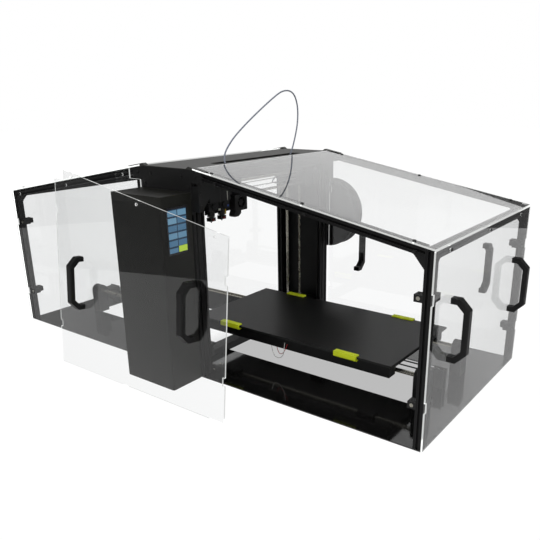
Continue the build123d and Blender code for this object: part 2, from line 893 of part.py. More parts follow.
def tool_carriage():
    """Bearing block on the two X rods, with the plate that the extruders hang on and the tube's coupler."""
    block_left = -222.0
    block_right = -177.0
    block_front = -72.5
    block_back = -48.0
    plate_left = -262.0
    plate_right = -108.0
    plate_low = 466.0
    plate_high = 553.0
    coupler_x, coupler_y, coupler_top = tube_route[0]
    with BuildPart() as carriage:
        with Locations(((block_left + block_right) / 2, (block_front + block_back) / 2, belt_z)):
            Box(block_right - block_left, block_back - block_front, 64)
        with BuildSketch(along_x(block_left)):
            with Locations((x_rod_y, x_rod_low), (x_rod_y, x_rod_high)):
                Circle(x_rod_radius + 0.06)
        extrude(amount=block_right - block_left, mode=Mode.SUBTRACT)
        with Locations(((plate_left + plate_right) / 2, (block_front + head_back) / 2,
                        (plate_low + plate_high) / 2)):
            Box(plate_right - plate_left, block_front - head_back, plate_high - plate_low)
        with Locations((-199, -44, 531)):
            Box(14, 8, 4)
        with BuildSketch(Plane(origin=(coupler_x, coupler_y, 534))):
            Circle(5)
        extrude(amount=coupler_top - 2 - 534)
    save(carriage, "tool_carriage")


def extruder_motors():
    with BuildPart() as motors:
        for x in nozzle_xs:
            with BuildSketch(along_y(head_back)):
                with Locations((x, 525)):
                    RectangleRounded(motor, motor, 4)
            extrude(amount=head_back - head_front)
    save(motors, "extruder_motors")


def extruder_housings():
    """Drive-gear housings under the motors, each with its front cover."""
    with BuildPart() as housings:
        for x in nozzle_xs:
            with Locations((x, (head_back - 104) / 2, 492.5)):
                Box(40, head_back + 104, 23)
            with BuildSketch(along_y(-104)):
                with Locations((x, 492.5)):
                    Circle(9)
            extrude(amount=4)
    save(housings, "extruder_housings")


def hot_ends():
    """Finned heatsink, heater block and nozzle under each extruder."""
    fin_radius = 11.0
    core_radius = 6.0
    block_low = 451.0
    block_high = 461.0
    sink_low = 464.0
    with BuildPart() as ends:
        for x in nozzle_xs:
            with BuildSketch(Plane(origin=(x, nozzle_y, block_high))):
                Circle(3)
            extrude(amount=sink_low - block_high)
            with BuildSketch(Plane(origin=(x, nozzle_y, sink_low))):
                Circle(core_radius)
            extrude(amount=481 - sink_low)
            for fin in range(4):
                with BuildSketch(Plane(origin=(x, nozzle_y, sink_low + 4.4 * fin))):
                    Circle(fin_radius)
                extrude(amount=2.2)
            with Locations((x, nozzle_y, (block_low + block_high) / 2)):
                Box(20, 16, block_high - block_low)
            with Locations((x, nozzle_y, (nozzle_tip + block_low) / 2)):
                Cone(0.8, 3.5, block_low - nozzle_tip)
    save(ends, "hot_ends")


def part_fan_housing():
    """Fan shroud facing the front, with the duct that leads its air down to the nozzles."""
    front = -96.5
    mouth = 82.5
    with BuildPart() as housing:
        with BuildSketch(along_y(head_back)):
            with Locations((fan_x - 1, fan_z)):
                RectangleRounded(54, 46, 3)
        extrude(amount=head_back - front)
        with BuildSketch(along_y(-mouth)):
            with Locations((fan_x, fan_z)):
                Circle(fan_radius + 1.2)
        extrude(amount=mouth, mode=Mode.SUBTRACT)
        with BuildSketch(along_y(-mouth)):
            with Locations((fan_x, fan_z)):
                Circle(1.5)
        extrude(amount=12)
        with BuildSketch(along_y(head_back)):
            with BuildLine():
                Polyline((-134, 466), (-160, 466), (-166, 453), (-163, 448), (-146, 448), (-134, 456),
                         close=True)
            make_face()
        extrude(amount=head_back - front)
    save(housing, "part_fan_housing")


def part_fan_rotor():
    """Hub with seven blades, turning on the housing's pin."""
    hub_radius = 7.5
    back = -83.5
    depth = 12.0
    with BuildPart() as rotor:
        with BuildSketch(along_y(back)):
            with Locations((fan_x, fan_z)):
                Circle(hub_radius)
            with Locations((fan_x, fan_z)):
                with PolarLocations(10.5, 7):
                    Rectangle(7.5, 2, rotation=25)
            with Locations((fan_x, fan_z)):
                Circle(1.56, mode=Mode.SUBTRACT)
        extrude(amount=depth)
    save(rotor, "part_fan_rotor")


# Bed

def build_plate():
    with BuildPart() as plate:
        with BuildSketch(Plane.XY.offset(bed_top - plate_thickness)):
            with Locations((0, (bed_front + bed_back) / 2)):
                Rectangle(2 * bed_half_width, bed_back - bed_front)
        extrude(amount=plate_thickness)
        chamfer(faces().sort_by(Axis.Z)[-1].edges(), length=0.6)
    save(plate, "build_plate")


def bed_frame():
    """Carrier under the plate: board, long skirts, corner blocks and the tongue that takes the belt."""
    half_span = 166.0
    front = bed_front + 10
    back = bed_back - 10
    under_plate = bed_top - plate_thickness
    board_low = 97.0
    skirt_low = 77.0
    with BuildPart() as frame:
        with Locations((0, (front + back) / 2, (board_low + under_plate) / 2)):
            Box(2 * half_span, back - front, under_plate - board_low)
        for side in (-1, 1):
            with Locations((side * (half_span - 3), (front + back) / 2, (board_low + skirt_low) / 2)):
                Box(6, back - front, board_low - skirt_low)
            for corner_y in (front + 20, back - 20):
                with Locations((side * (half_span - 17), corner_y, (board_low + skirt_low) / 2)):
                    Box(34, 40, board_low - skirt_low)
        with Locations((0, (front + back) / 2, 78.25)):
            Box(16, 44, 2 * (board_low - 78.25))
    save(frame, "bed_frame")


def bed_bearings():
    with BuildPart() as blocks:
        for side in (-1, 1):
            for y in (-531.0, -29.0):
                with BuildSketch(along_y(y)):
                    with Locations((side * y_rod_x, 85)):
                        RectangleRounded(34, 24, 3)
                    with Locations((side * y_rod_x, y_rod_z)):
                        Circle(y_rod_radius + 0.06, mode=Mode.SUBTRACT)
                extrude(amount=25, both=True)
    save(blocks, "bed_bearings")


def bed_clips():
    """Bright clips that hold the plate's long edges, each with two screw holes."""
    length = 71.0
    edge = bed_half_width
    with BuildPart() as clips:
        for y in (-487.0, -73.0):
            with BuildSketch(along_y(y)):
                with BuildLine():
                    Polyline((edge - 13, bed_top), (edge - 13, bed_top + 3.5), (edge + 5, bed_top + 3.5),
                             (edge + 5, bed_top - 9), (edge + 1, bed_top - 13), (edge - 9, bed_top - 13),
                             (edge - 9, bed_top - plate_thickness), (edge, bed_top - plate_thickness),
                             (edge, bed_top), close=True)
                make_face()
            extrude(amount=length / 2, both=True)
            for offset in (-18, 18):
                with Locations((edge - 4, y + offset, bed_top + 3.5)):
                    Hole(2.2, depth=2.5)
        mirror(about=Plane.YZ)
    save(clips, "bed_clips")


# Removable panels

def handle_profile():
    """Bow handle seen from the side, standing on its two feet."""
    half = handle_length / 2
    inner = half - handle_bar
    shoulder = handle_standoff - handle_chamfer
    inner_chamfer = handle_chamfer - 0.59 * handle_bar
    under = handle_standoff - handle_bar
    with BuildLine() as outline:
        Polyline((-half, 0), (-half, shoulder), (-half + handle_chamfer, handle_standoff),
                 (half - handle_chamfer, handle_standoff), (half, shoulder), (half, 0), (inner, 0),
                 (inner, under - inner_chamfer), (inner - inner_chamfer, under),
                 (-inner + inner_chamfer, under), (-inner, under - inner_chamfer), (-inner, 0), close=True)
    make_face(outline.line)


def handles(name, seats, outward, up):
    """A pair of handles; seats are their centres on the panel's outer face."""
    across = Vector(*up).cross(Vector(*outward))
    with BuildPart() as pair:
        for seat in seats:
            with BuildSketch(Plane(origin=seat, x_dir=up, z_dir=across)):
                handle_profile()
            extrude(amount=handle_width / 2, both=True)
        fillet(pair.edges().filter_by(lambda edge: edge.length > 100), radius=3)
    save(pair, name)


def front_right_panel():
    with BuildPart() as panel:
        with BuildSketch(along_x(half_width + gap)):
            side_outline(-1)
        extrude(amount=sheet)
    save(panel, "front_right_panel")
    outer_x = half_width + gap + sheet
    shifts = (-side_handle_offset, side_handle_offset)
    seats = [(outer_x, side_handle_y + shift, handle_height) for shift in shifts]
    handles("front_right_handles", seats, (1, 0, 0), (0, 0, 1))


def front_end_panel():
    with BuildPart() as panel:
        with BuildSketch(along_y(-half_length - gap)):
            end_outline(half_width)
            with Locations(*[(x, end_peg_z) for x in end_peg_xs]):
                Circle(peg_hole_radius, mode=Mode.SUBTRACT)
        extrude(amount=sheet)
    save(panel, "front_end_panel")
    outer_y = -half_length - gap - sheet
    seats = [(x, outer_y, handle_height) for x in (-end_handle_x, end_handle_x)]
    handles("front_end_handles", seats, (0, -1, 0), (0, 0, 1))


def front_left_panel():
    """Side panel taken off its pegs and leant against the control box."""
    up = (math.sin(lean), 0, math.cos(lean))
    inward = (math.cos(lean), 0, -math.sin(lean))
    foot = Vector(lean_foot_x, lean_shift, 0) - Vector(*up)
    with BuildPart() as panel:
        with BuildSketch(Plane(origin=foot, x_dir=(0, 1, 0), z_dir=inward)):
            side_outline(-1)
        extrude(amount=-sheet)
    save(panel, "front_left_panel")
    outward = Vector(*inward) * -1
    middle_y = side_handle_y + lean_shift
    outer_face = Vector(lean_foot_x, 0, 0) + outward * sheet + Vector(*up) * handle_height
    shifts = (-side_handle_offset, side_handle_offset)
    seats = [outer_face + Vector(0, middle_y + shift, 0) for shift in shifts]
    handles("front_left_handles", seats, tuple(outward), up)


os.makedirs("parts", exist_ok=True)

base_plate()
corner_posts()
end_beams()
roof_beams(-1, "front_roof_beams")
roof_beams(1, "rear_roof_beams")
corner_gussets()
corner_clips()
roof_sheet(-1, "front_roof")
roof_sheet(1, "rear_roof")
frame_screws()
rear_side_panels()
rear_end_panel()

towers()
gantry_beams()
gantry_cover()
gantry_plates()
base_cross_beam()
guide_rods()
z_brackets()
axis_motors()
y_axis_mounts()
y_belt()
cable_loom()

control_box_shell()
control_box_plate()
touchscreen()
power_supply()
controller_board()
power_inlet()
power_switch()

spool_arm()
spool()
filament()
filament_tube()

lead_screw(-1, "lead_screw_left")
lead_screw(1, "lead_screw_right")
x_ends()
x_rods()
x_motor()
x_belt()
pulley("x_pulley", (x_motor_x, belt_y, belt_z), (0, -1, 0), shaft=belt_y * -1 - 36 - gap)
pulley("x_idler", (x_idler_x, belt_y, belt_z), (0, -1, 0), bore=2.06)
pulley("y_pulley", (0, y_belt_end, y_belt_z), (1, 0, 0), shaft=24 - gap)
pulley("y_idler", (0, -y_belt_end, y_belt_z), (1, 0, 0), bore=2.06)

tool_carriage()
extruder_motors()
extruder_housings()
hot_ends()
part_fan_housing()
part_fan_rotor()

build_plate()
bed_frame()
bed_bearings()
bed_clips()

front_right_panel()
front_end_panel()
front_left_panel()
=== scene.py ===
import json
import math
import bpy
import numpy as np
from mathutils import Matrix, Vector


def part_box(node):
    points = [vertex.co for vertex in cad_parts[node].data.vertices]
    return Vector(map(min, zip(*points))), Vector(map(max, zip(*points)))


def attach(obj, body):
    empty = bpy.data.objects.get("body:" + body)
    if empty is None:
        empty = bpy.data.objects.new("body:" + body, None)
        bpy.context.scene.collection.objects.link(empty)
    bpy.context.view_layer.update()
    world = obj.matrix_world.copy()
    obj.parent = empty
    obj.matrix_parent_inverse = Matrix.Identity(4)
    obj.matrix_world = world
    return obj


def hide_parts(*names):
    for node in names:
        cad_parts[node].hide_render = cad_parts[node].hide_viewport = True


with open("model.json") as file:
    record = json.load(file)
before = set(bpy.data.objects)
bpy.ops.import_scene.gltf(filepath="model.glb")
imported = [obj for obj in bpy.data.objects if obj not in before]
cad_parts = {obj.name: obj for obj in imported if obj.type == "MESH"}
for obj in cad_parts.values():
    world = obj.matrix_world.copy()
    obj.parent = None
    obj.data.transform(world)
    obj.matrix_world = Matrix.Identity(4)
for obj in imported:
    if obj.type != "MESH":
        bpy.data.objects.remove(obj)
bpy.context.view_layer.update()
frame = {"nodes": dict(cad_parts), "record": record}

nodes = frame["nodes"]
scene = bpy.context.scene
scene.view_settings.view_transform = "Standard"


# camera

viewpoint = {
    "place": (-1.4813, -1.2701, 0.7775),
    "heading": 53.375,      # degrees from +Y towards +X
    "down": 19.068,
    "roll": -0.562,
    "lens": 40.568,
    "shift": (-0.03556, 0.06856),
}


def makeCamera(v):
    data = bpy.data.cameras.new("viewCamera")
    data.sensor_width = 36.0
    data.lens = v["lens"]
    data.shift_x, data.shift_y = v["shift"]
    data.clip_end = 60.0
    camera = bpy.data.objects.new("viewCamera", data)
    scene.collection.objects.link(camera)
    turn = (Matrix.Rotation(-math.radians(v["heading"]), 4, "Z")
            @ Matrix.Rotation(math.radians(90 - v["down"]), 4, "X")
            @ Matrix.Rotation(math.radians(v["roll"]), 4, "Z"))
    camera.matrix_world = Matrix.Translation(v["place"]) @ turn
    scene.camera = camera


makeCamera(viewpoint)
print("camera made")


# guide tube: up from above the head, over the gantry and down to the right side

guideTube = {
    "diameter": 0.0046,
    "length": 0.951,
    "route": [
        (-0.149, -0.079, 0.554), (-0.159, -0.071, 0.583), (-0.163, -0.060, 0.618), (-0.126, -0.060, 0.659),
        (-0.071, -0.058, 0.694), (0.0035, -0.056, 0.735), (0.076, -0.053, 0.771), (0.139, -0.050, 0.798),
        (0.197, -0.0475, 0.793), (0.223, -0.0465, 0.751), (0.222, -0.0465, 0.696), (0.205, -0.047, 0.648),
        (0.187, -0.044, 0.601), (0.179, -0.022, 0.557), (0.183, 0.018, 0.520), (0.204, 0.056, 0.495),
        (0.245, 0.062, 0.485), (0.285, 0.063, 0.483), (0.3247, 0.062, 0.483),
    ],
}


def smoothCurve(name, route, diameter):
    # an open quadratic spline shaped by its control points, with its ends on the first and last
    data = bpy.data.curves.new(name, "CURVE")
    data.dimensions = "3D"
    data.resolution_u = 8
    data.bevel_depth = diameter / 2
    data.bevel_resolution = 6
    data.use_fill_caps = True
    spline = data.splines.new("NURBS")
    spline.points.add(len(route) - 1)
    for point, place in zip(spline.points, route):
        point.co = (*place, 1.0)
    spline.order_u = 3
    spline.use_endpoint_u = True
    piece = bpy.data.objects.new(name, data)
    scene.collection.objects.link(piece)
    return piece


tubePiece = smoothCurve("guide_tube", guideTube["route"], guideTube["diameter"])
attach(tubePiece, "frame")
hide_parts("filament_tube")
print("guide tube laid")


# two leads that loop below the bed's left side

bedLeads = {
    "white_lead": {"diameter": 0.0018, "length": 0.116, "route": [
        (-0.166, -0.275, 0.097), (-0.172, -0.277, 0.088), (-0.175, -0.278, 0.064), (-0.173, -0.262, 0.046),
        (-0.168, -0.238, 0.045), (-0.163, -0.226, 0.060), (-0.163, -0.222, 0.077)]},
    "red_lead": {"diameter": 0.0018, "length": 0.075, "route": [
        (-0.166, -0.284, 0.094), (-0.172, -0.285, 0.086), (-0.172, -0.272, 0.063), (-0.168, -0.256, 0.058),
        (-0.163, -0.246, 0.066), (-0.163, -0.243, 0.077)]},
}
leadPieces = {}
for label, lead in bedLeads.items():
    leadPieces[label] = smoothCurve(label, lead["route"], lead["diameter"])
    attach(leadPieces[label], "bed")
print("bed leads laid")


# shared shader groups

def newGroup(name, inputs, outputs):
    group = bpy.data.node_groups.new(name, "ShaderNodeTree")
    for label, kind, value in inputs:
        socket = group.interface.new_socket(label, in_out="INPUT", socket_type=kind)
        socket.default_value = value
    for label, kind in outputs:
        group.interface.new_socket(label, in_out="OUTPUT", socket_type=kind)
    return group, group.nodes.new("NodeGroupInput"), group.nodes.new("NodeGroupOutput")


def feed(tree, socket, value):
    # value is another node's output, or a plain value that the socket takes
    if isinstance(value, bpy.types.NodeSocket):
        tree.links.new(value, socket)
    else:
        socket.default_value = value


def mathNode(tree, operation, first, second=None, clamp=False):
    # first and second are sockets or numbers
    node = tree.nodes.new("ShaderNodeMath")
    node.operation = operation
    node.use_clamp = clamp
    feed(tree, node.inputs[0], first)
    if second is not None:
        feed(tree, node.inputs[1], second)
    return node.outputs[0]


def objectPlace(tree):
    return tree.nodes.new("ShaderNodeTexCoord").outputs["Object"]


def faceNormal(tree):
    return tree.nodes.new("ShaderNodeNewGeometry").outputs["Normal"]


def noiseNode(tree, place, scale, detail):
    # place is a socket, scale a socket or a number; gives 0 to 1
    node = tree.nodes.new("ShaderNodeTexNoise")
    feed(tree, node.inputs["Vector"], place)
    feed(tree, node.inputs["Scale"], scale)
    node.inputs["Detail"].default_value = detail
    return node.outputs["Fac"]


grainLook = {"fineDetail": 3.0, "cloudScale": 9.0, "cloudDetail": 5.0}


def makeGrain(look):
    # noise stretched along an axis, as 0 to 1, with a coarser cloud beside it
    group, entry, leave = newGroup(
        "grain",
        [("Scale", "NodeSocketFloat", 400.0), ("Stretch", "NodeSocketVector", (1, 1, 1))],
        [("Fine", "NodeSocketFloat"), ("Cloud", "NodeSocketFloat")])
    stretch = group.nodes.new("ShaderNodeVectorMath")
    stretch.operation = "MULTIPLY"
    group.links.new(objectPlace(group), stretch.inputs[0])
    group.links.new(entry.outputs["Stretch"], stretch.inputs[1])
    fine = noiseNode(group, stretch.outputs[0], entry.outputs["Scale"], look["fineDetail"])
    cloud = noiseNode(group, objectPlace(group), look["cloudScale"], look["cloudDetail"])
    group.links.new(fine, leave.inputs["Fine"])
    group.links.new(cloud, leave.inputs["Cloud"])
    return group


wearAndHighlightLook = {"samples": 4, "gain": 5.0, "patchScale": 60.0, "patchDetail": 4.0}


def makeEdgeWearAndHighlight(look):
    # where a rounded normal leaves the flat one, broken up by noise: lighter edges that are partly wear and
    # partly a painted highlight
    group, entry, leave = newGroup(
        "edgeWearAndHighlight",
        [("Radius", "NodeSocketFloat", 0.001), ("Amount", "NodeSocketFloat", 0.5)],
        [("Mask", "NodeSocketFloat")])
    bevel = group.nodes.new("ShaderNodeBevel")
    bevel.samples = look["samples"]
    group.links.new(entry.outputs["Radius"], bevel.inputs["Radius"])
    dot = group.nodes.new("ShaderNodeVectorMath")
    dot.operation = "DOT_PRODUCT"
    group.links.new(bevel.outputs["Normal"], dot.inputs[0])
    group.links.new(faceNormal(group), dot.inputs[1])
    turned = mathNode(group, "SUBTRACT", 1.0, dot.outputs["Value"])
    edge = mathNode(group, "MULTIPLY", turned, look["gain"], clamp=True)
    patches = noiseNode(group, objectPlace(group), look["patchScale"], look["patchDetail"])
    wornAndHighlit = mathNode(group, "MULTIPLY", edge, patches)
    mask = mathNode(group, "MULTIPLY", wornAndHighlit, entry.outputs["Amount"], clamp=True)
    group.links.new(mask, leave.inputs["Mask"])
    return group


dustLook = {"least": 0.08, "filmScale": 14.0, "filmDetail": 6.0, "filmShare": 0.35, "speckDetail": 1.0,
            "speckFrom": 0.66, "speckGain": 6.0}


def makeDust(look):
    # specks and film on faces that look up, with a little on the rest
    group, entry, leave = newGroup(
        "dust",
        [("Amount", "NodeSocketFloat", 0.2), ("Speck Scale", "NodeSocketFloat", 900.0)],
        [("Mask", "NodeSocketFloat")])
    split = group.nodes.new("ShaderNodeSeparateXYZ")
    group.links.new(faceNormal(group), split.inputs[0])
    upward = mathNode(group, "MAXIMUM", split.outputs["Z"], look["least"])
    film = noiseNode(group, objectPlace(group), look["filmScale"], look["filmDetail"])
    speck = noiseNode(group, objectPlace(group), entry.outputs["Speck Scale"], look["speckDetail"])
    peaks = mathNode(group, "SUBTRACT", speck, look["speckFrom"])
    specks = mathNode(group, "MULTIPLY", peaks, look["speckGain"], clamp=True)
    both = mathNode(group, "ADD", mathNode(group, "MULTIPLY", film, look["filmShare"]), specks)
    settled = mathNode(group, "MULTIPLY", both, upward)
    mask = mathNode(group, "MULTIPLY", settled, entry.outputs["Amount"], clamp=True)
    group.links.new(mask, leave.inputs["Mask"])
    return group


grainGroup = makeGrain(grainLook)
wearAndHighlightGroup = makeEdgeWearAndHighlight(wearAndHighlightLook)
dustGroup = makeDust(dustLook)
print("shader groups built")


# materials

def startMaterial(name):
    material = bpy.data.materials.new(name)
    material.use_nodes = True
    tree = material.node_tree
    return material, tree, tree.nodes["Principled BSDF"]


def placeGroup(tree, group, **values):
    node = tree.nodes.new("ShaderNodeGroup")
    node.node_tree = group
    for label, value in values.items():
        node.inputs[label.replace("_", " ")].default_value = value
    return node


mixSockets = {"factor": 0, "first": 6, "second": 7, "result": 2}    # a mix node's places for colours


def colourMix(tree, factor, first, second):
    # factor is a socket, the colours are sockets or rgb
    mix = tree.nodes.new("ShaderNodeMix")
    mix.data_type = "RGBA"
    feed(tree, mix.inputs[mixSockets["factor"]], factor)
    for label, colour in (("first", first), ("second", second)):
        plain = isinstance(colour, tuple)
        feed(tree, mix.inputs[mixSockets[label]], (*colour, 1.0) if plain else colour)
    return mix.outputs[mixSockets["result"]]


def rangeNode(tree, value, low, high):
    node = tree.nodes.new("ShaderNodeMapRange")
    tree.links.new(value, node.inputs["Value"])
    node.inputs["To Min"].default_value = low
    node.inputs["To Max"].default_value = high
    return node.outputs["Result"]


def bumpInto(tree, bsdf, height, distance):
    bump = tree.nodes.new("ShaderNodeBump")
    bump.inputs["Distance"].default_value = distance
    bump.inputs["Strength"].default_value = 1.0
    tree.links.new(height, bump.inputs["Height"])
    tree.links.new(bump.outputs["Normal"], bsdf.inputs["Normal"])


dustColour = (0.42, 0.41, 0.39)


def solidFinish(name, look):
    # two close tones, grain in colour, roughness and height, lighter edges that are partly wear and partly a
    # painted highlight, a little dust
    material, tree, bsdf = startMaterial(name)
    grain = placeGroup(tree, grainGroup, Scale=look["grainScale"], Stretch=look.get("stretch", (1, 1, 1)))
    wearAndHighlight = placeGroup(tree, wearAndHighlightGroup, Radius=look.get("wearRadius", 0.0012), Amount=look.get("wearAndHighlight", 0.5))
    dust = placeGroup(tree, dustGroup, Amount=look.get("dust", 0.1))
    tone = colourMix(tree, grain.outputs["Cloud"], look["dark"], look["light"])
    # edges lightened by the mask: partly wear, partly a painted highlight
    tone = colourMix(tree, wearAndHighlight.outputs["Mask"], tone, look["edge"])
    tone = colourMix(tree, dust.outputs["Mask"], tone, dustColour)
    tree.links.new(tone, bsdf.inputs["Base Color"])
    rough = rangeNode(tree, grain.outputs["Fine"], *look["rough"])
    tree.links.new(mathNode(tree, "ADD", rough, dust.outputs["Mask"], clamp=True), bsdf.inputs["Roughness"])
    bsdf.inputs["Metallic"].default_value = look.get("metallic", 0.0)
    bsdf.inputs["Specular IOR Level"].default_value = look.get("specular", 0.35)
    bsdf.inputs["Coat Weight"].default_value = look.get("coat", 0.0)
    bsdf.inputs["Coat Roughness"].default_value = look.get("coatRough", 0.08)
    bumpInto(tree, bsdf, grain.outputs["Fine"], look.get("depth", 0.00004))
    return material


blackFrame = solidFinish("anodisedBlack", {
    "dark": (0.0075, 0.0075, 0.0078), "light": (0.014, 0.014, 0.0145), "edge": (0.16, 0.16, 0.16),
    "grainScale": 260.0, "stretch": (1, 1, 0.25), "rough": (0.34, 0.5), "metallic": 0.35, "wearAndHighlight": 0.45,
    "depth": 0.00003, "dust": 0.08})
glossBase = solidFinish("glossBlackBase", {
    "dark": (0.003, 0.003, 0.003), "light": (0.006, 0.006, 0.006), "edge": (0.2, 0.2, 0.2),
    "grainScale": 90.0, "rough": (0.05, 0.12), "wearAndHighlight": 0.5, "specular": 0.45, "coat": 0.35, "depth": 0.000008,
    "dust": 0.035})
powderBlack = solidFinish("powderBlack", {
    "dark": (0.011, 0.011, 0.0115), "light": (0.019, 0.019, 0.019), "edge": (0.13, 0.13, 0.13),
    "grainScale": 620.0, "rough": (0.36, 0.5), "wearAndHighlight": 0.4, "depth": 0.00007, "dust": 0.12})
powderCharcoal = solidFinish("powderCharcoal", {
    "dark": (0.012, 0.012, 0.0095), "light": (0.019, 0.019, 0.015), "edge": (0.12, 0.12, 0.11),
    "grainScale": 620.0, "rough": (0.42, 0.58), "wearAndHighlight": 0.4, "depth": 0.00003, "dust": 0.04})
printedBlack = solidFinish("printedBlack", {
    "dark": (0.009, 0.009, 0.0095), "light": (0.017, 0.017, 0.017), "edge": (0.09, 0.09, 0.09),
    "grainScale": 900.0, "stretch": (0.12, 0.12, 3.2), "rough": (0.42, 0.62), "wearAndHighlight": 0.35, "depth": 0.00012,
    "dust": 0.08})
mouldedBlack = solidFinish("mouldedBlack", {
    "dark": (0.0095, 0.0095, 0.0098), "light": (0.015, 0.015, 0.015), "edge": (0.1, 0.1, 0.1),
    "grainScale": 1100.0, "rough": (0.36, 0.52), "wearAndHighlight": 0.3, "depth": 0.00006, "dust": 0.05})
groundSteel = solidFinish("groundSteel", {
    "dark": (0.42, 0.4, 0.34), "light": (0.56, 0.54, 0.47), "edge": (0.75, 0.74, 0.7),
    "grainScale": 500.0, "stretch": (1, 1, 0.1), "rough": (0.2, 0.32), "metallic": 1.0, "wearAndHighlight": 0.2,
    "depth": 0.00001, "dust": 0.03})
machinedAluminium = solidFinish("machinedAluminium", {
    "dark": (0.5, 0.5, 0.5), "light": (0.66, 0.66, 0.66), "edge": (0.85, 0.85, 0.85),
    "grainScale": 700.0, "stretch": (1, 1, 0.3), "rough": (0.28, 0.42), "metallic": 1.0, "wearAndHighlight": 0.3,
    "depth": 0.00002})
chartreusePrint = solidFinish("chartreusePrint", {
    "dark": (0.76, 0.9, 0.012), "light": (0.86, 0.97, 0.03), "edge": (0.9, 0.98, 0.2),
    "grainScale": 900.0, "stretch": (0.12, 0.12, 3.2), "rough": (0.4, 0.55), "wearAndHighlight": 0.35, "depth": 0.00012,
    "dust": 0.02})
bedBlack = solidFinish("bedSurface", {
    "dark": (0.006, 0.006, 0.0065), "light": (0.01, 0.01, 0.01), "edge": (0.14, 0.14, 0.14),
    "grainScale": 1400.0, "rough": (0.3, 0.44), "wearAndHighlight": 0.5, "depth": 0.00003, "dust": 0.1})
rubberBlack = solidFinish("beltRubber", {
    "dark": (0.006, 0.006, 0.006), "light": (0.012, 0.012, 0.012), "edge": (0.04, 0.04, 0.04),
    "grainScale": 800.0, "rough": (0.6, 0.8), "wearAndHighlight": 0.3, "depth": 0.00006})
spoolBlack = solidFinish("spoolPlastic", {
    "dark": (0.013, 0.013, 0.013), "light": (0.024, 0.024, 0.024), "edge": (0.16, 0.16, 0.16),
    "grainScale": 500.0, "rough": (0.3, 0.42), "wearAndHighlight": 0.6, "depth": 0.00003, "dust": 0.05})


def makeSawnEdge():
    # 1 on faces turned more than 60 degrees from the sheet's own normal: step(0.5 - |N . sheet|)
    group, entry, leave = newGroup(
        "sawnEdge",
        [("Sheet Normal", "NodeSocketVector", (0, 0, 1))],
        [("Mask", "NodeSocketFloat")])
    dot = group.nodes.new("ShaderNodeVectorMath")
    dot.operation = "DOT_PRODUCT"
    group.links.new(faceNormal(group), dot.inputs[0])
    group.links.new(entry.outputs["Sheet Normal"], dot.inputs[1])
    aligned = mathNode(group, "ABSOLUTE", dot.outputs["Value"])
    group.links.new(mathNode(group, "LESS_THAN", aligned, 0.5), leave.inputs["Mask"])
    return group


sawnGroup = makeSawnEdge()


acrylic = {"tint": (0.975, 0.98, 0.98, 1.0), "refraction": 1.49, "rough": (0.0, 0.02),
           "paintedEdgeHighlight": (0.62, 0.63, 0.62), "smearScale": 30.0}


def clearAcrylic(name, sheetNormal):
    # clear faces with faint smears, and a sawn edge given a white emission as a painted highlight
    material, tree, bsdf = startMaterial(name)
    sawn = placeGroup(tree, sawnGroup, Sheet_Normal=sheetNormal)
    smear = placeGroup(tree, grainGroup, Scale=acrylic["smearScale"])
    bsdf.inputs["Base Color"].default_value = acrylic["tint"]
    tree.links.new(rangeNode(tree, smear.outputs["Cloud"], *acrylic["rough"]), bsdf.inputs["Roughness"])
    bsdf.inputs["IOR"].default_value = acrylic["refraction"]
    bsdf.inputs["Transmission Weight"].default_value = 1.0
    # painted highlight: the sawn edge emits white light of its own
    edgeHighlightGlow = colourMix(tree, sawn.outputs["Mask"], (0, 0, 0), acrylic["paintedEdgeHighlight"])
    tree.links.new(edgeHighlightGlow, bsdf.inputs["Emission Color"])
    bsdf.inputs["Emission Strength"].default_value = 1.0
    return material


screenLook = {
    "tiles": {"Scale": 1.0, "Brick Width": 0.5, "Row Height": 0.16, "Mortar Size": 0.02, "Mortar Smooth": 0.1,
              "Color1": (0.045, 0.13, 0.23, 1.0), "Color2": (0.14, 0.29, 0.42, 1.0),
              "Mortar": (0.01, 0.03, 0.06, 1.0)},
    "button": (0.42, 0.6, 0.05), "buttonTop": 0.17, "buttonLeft": 0.52,
    "surround": (0.004, 0.004, 0.005), "litHalfWidth": 0.44, "litHalfHeight": 0.46,
    "glass": (0.01, 0.01, 0.012, 1.0), "rough": (0.04, 0.16), "smearScale": 60.0,
}


def shareOf(tree, place, low, high):
    # how far a coordinate is from low towards high, as 0 to 1
    return mathNode(tree, "DIVIDE", mathNode(tree, "SUBTRACT", place, low), high - low)


def nearMiddle(tree, share, half):
    # 1 where a 0 to 1 share lies within half of its middle
    offset = mathNode(tree, "ABSOLUTE", mathNode(tree, "SUBTRACT", share, 0.5))
    return mathNode(tree, "LESS_THAN", offset, half)


